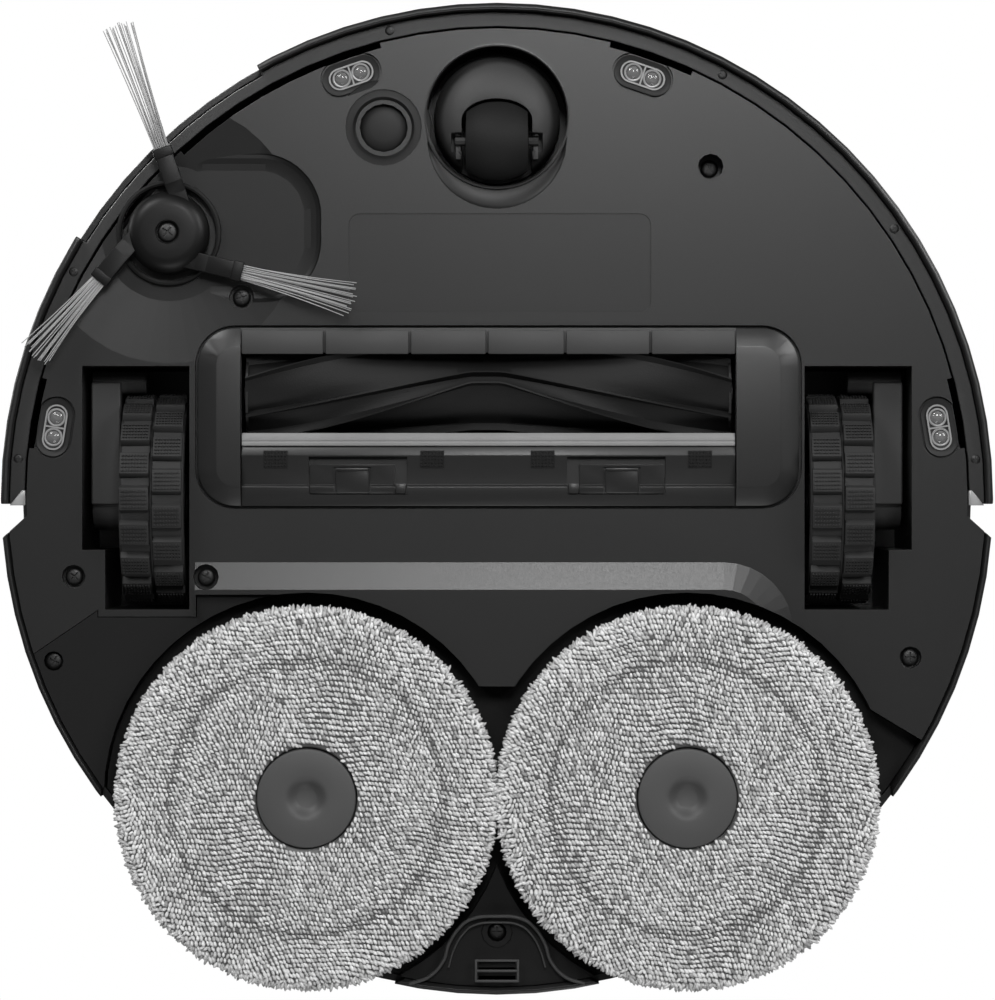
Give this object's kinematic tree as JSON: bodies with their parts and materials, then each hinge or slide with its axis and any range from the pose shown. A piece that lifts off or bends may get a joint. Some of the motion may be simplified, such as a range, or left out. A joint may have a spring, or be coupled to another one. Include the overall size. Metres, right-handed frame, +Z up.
{
  "type": "robot vacuum",
  "caption": "Low round robot vacuum with a rubber roller, a sweeping side brush, two spinning lifting mop pads, a sprung bumper and a lidar turret.",
  "frame": {"origin": "on the floor, under the middle of the round body", "axes": "+Z up from the floor, -Y towards the front bumper, -X towards the robot's right, where the side brush is"},
  "size_m": [0.35, 0.35, 0.098],
  "materials": {
    "chassis_plastic": "fine matte texture",
    "dark_plastic": "fine matte texture",
    "shell_plastic": "satin",
    "gloss_black": "polished",
    "clear_plastic": "clear, polished",
    "hub_plastic": "satin",
    "black_rubber": "matte",
    "grey_rubber": "matte",
    "tread": "moulded lugs with a fine dimpled texture",
    "bristle_fibre": "straight nylon bristles",
    "mop_fabric": "looped microfibre pile",
    "steel": "plain",
    "battery_wrap": "shrink wrap"
  },
  "bodies": {
    "body": {"chassis_base": "chassis_plastic", "mop_bay_cover": "dark_plastic", "side_plate": "dark_plastic", "side_shell": "shell_plastic", "top_deck": "shell_plastic", "lidar_turret": "shell_plastic", "dust_bin": "clear_plastic", "water_tank": "clear_plastic", "battery_pack": "battery_wrap", "main_board": "gloss_black", "suction_fan": "dark_plastic", "roller_motor": "steel", "side_brush_motor": "steel", "chassis_screw_1": "steel", "chassis_screw_2": "steel", "chassis_screw_3": "steel", "chassis_screw_4": "steel", "chassis_screw_5": "steel", "chassis_screw_6": "steel", "chassis_screw_7": "steel", "cliff_lens_1": "clear_plastic", "cliff_lens_2": "clear_plastic", "cliff_lens_3": "clear_plastic", "cliff_lens_4": "clear_plastic", "carpet_sensor_ring": "chassis_plastic", "carpet_sensor_lens": "gloss_black", "charge_contact_right": "steel", "charge_contact_left": "steel"},
    "bumper": {"bumper": "shell_plastic", "bumper_ring": "shell_plastic", "front_window": "gloss_black"},
    "lid": {"top_lid": "shell_plastic"},
    "power_button": {"power_button": "gloss_black"},
    "home_button": {"home_button": "gloss_black"},
    "lidar_rotor": {"lidar_rotor": "gloss_black"},
    "caster": {"caster_fork": "chassis_plastic", "caster_axle": "steel"},
    "caster_wheel": {"caster_wheel": "black_rubber"},
    "side_brush": {"side_brush_hub": "chassis_plastic", "side_brush_screw": "steel", "side_brush_bristles_1": "bristle_fibre", "side_brush_bristles_2": "bristle_fibre", "side_brush_bristles_3": "bristle_fibre"},
    "roller": {"roller_core": "dark_plastic", "roller_blades": "black_rubber"},
    "brush_cover": {"brush_cover": "chassis_plastic", "squeegee": "grey_rubber"},
    "latch_right": {"cover_latch_right": "chassis_plastic"},
    "latch_left": {"cover_latch_left": "chassis_plastic"},
    "suspension_right": {"drive_arm_right": "dark_plastic"},
    "suspension_left": {"drive_arm_left": "dark_plastic"},
    "wheel_right": {"wheel_rim_right": "dark_plastic", "tyre_right": "tread"},
    "wheel_left": {"wheel_rim_left": "dark_plastic", "tyre_left": "tread"},
    "mop_carriage": {"mop_carriage": "dark_plastic"},
    "mop_right": {"mop_plate_right": "hub_plastic", "mop_cloth_right": "mop_fabric"},
    "mop_left": {"mop_plate_left": "hub_plastic", "mop_cloth_left": "mop_fabric"}
  },
  "joints": [
    {"name": "bumper_press", "type": "slide", "parent": "body", "child": "bumper", "axis": [0, 1, 0], "range_m": [0, 0.0035], "stiffness_N_per_m": 600, "springref_m": -0.002},
    {"name": "lid_hinge", "type": "hinge", "parent": "body", "child": "lid", "pos_m": [0, -0.012, 0.084], "axis": [-1, 0, 0], "range_deg": [0, 75]},
    {"name": "power_press", "type": "slide", "parent": "body", "child": "power_button", "axis": [0, 0, -1], "range_m": [0, 0.0007], "stiffness_N_per_m": 600, "springref_m": -0.0006},
    {"name": "home_press", "type": "slide", "parent": "body", "child": "home_button", "axis": [0, 0, -1], "range_m": [0, 0.0007], "stiffness_N_per_m": 600, "springref_m": -0.0006},
    {"name": "lidar_spin", "type": "hinge", "parent": "body", "child": "lidar_rotor", "pos_m": [0, 0.062, 0.09], "axis": [0, 0, 1], "continuous": true},
    {"name": "caster_swivel", "type": "hinge", "parent": "body", "child": "caster", "pos_m": [0, -0.135, 0.03], "axis": [0, 0, 1], "continuous": true},
    {"name": "caster_roll", "type": "hinge", "parent": "caster", "child": "caster_wheel", "pos_m": [0, -0.1264, 0.014], "axis": [1, 0, 0], "continuous": true},
    {"name": "side_brush_spin", "type": "hinge", "parent": "body", "child": "side_brush", "pos_m": [-0.1158, -0.0938, 0.01], "axis": [0, 0, 1], "continuous": true, "deforming": ["side_brush_bristles_1", "side_brush_bristles_2", "side_brush_bristles_3"]},
    {"name": "roller_spin", "type": "hinge", "parent": "body", "child": "roller", "pos_m": [0, -0.0373, 0.0215], "axis": [1, 0, 0], "continuous": true},
    {"name": "brush_cover_hinge", "type": "hinge", "parent": "body", "child": "brush_cover", "pos_m": [0, -0.0605, 0.008], "axis": [-1, 0, 0], "range_deg": [0, 60]},
    {"name": "latch_right_slide", "type": "slide", "parent": "brush_cover", "child": "latch_right", "axis": [0, -1, 0], "range_m": [0, 0.0025], "stiffness_N_per_m": 400, "springref_m": -0.001},
    {"name": "latch_left_slide", "type": "slide", "parent": "brush_cover", "child": "latch_left", "axis": [0, -1, 0], "range_m": [0, 0.0025], "stiffness_N_per_m": 400, "springref_m": -0.001},
    {"name": "suspension_right_drop", "type": "hinge", "parent": "body", "child": "suspension_right", "pos_m": [-0.135, -0.0415, 0.03], "axis": [-1, 0, 0], "range_deg": [0, 28]},
    {"name": "suspension_left_drop", "type": "hinge", "parent": "body", "child": "suspension_left", "pos_m": [0.135, -0.0415, 0.03], "axis": [-1, 0, 0], "range_deg": [0, 28]},
    {"name": "wheel_right_roll", "type": "hinge", "parent": "suspension_right", "child": "wheel_right", "pos_m": [-0.1216, 0, 0.0375], "axis": [1, 0, 0], "continuous": true},
    {"name": "wheel_left_roll", "type": "hinge", "parent": "suspension_left", "child": "wheel_left", "pos_m": [0.1216, 0, 0.0375], "axis": [1, 0, 0], "continuous": true},
    {"name": "mop_lift", "type": "slide", "parent": "body", "child": "mop_carriage", "axis": [0, 0, 1], "range_m": [0, 0.009]},
    {"name": "mop_right_spin", "type": "hinge", "parent": "mop_carriage", "child": "mop_right", "pos_m": [-0.0668, 0.105, 0.005], "axis": [0, 0, 1], "continuous": true},
    {"name": "mop_left_spin", "type": "hinge", "parent": "mop_carriage", "child": "mop_left", "pos_m": [0.0668, 0.105, 0.005], "axis": [0, 0, 1], "continuous": true}
  ],
  "couplings": [
    {"joint": "mop_left_spin", "follows": "mop_right_spin", "ratio": -1}
  ]
}
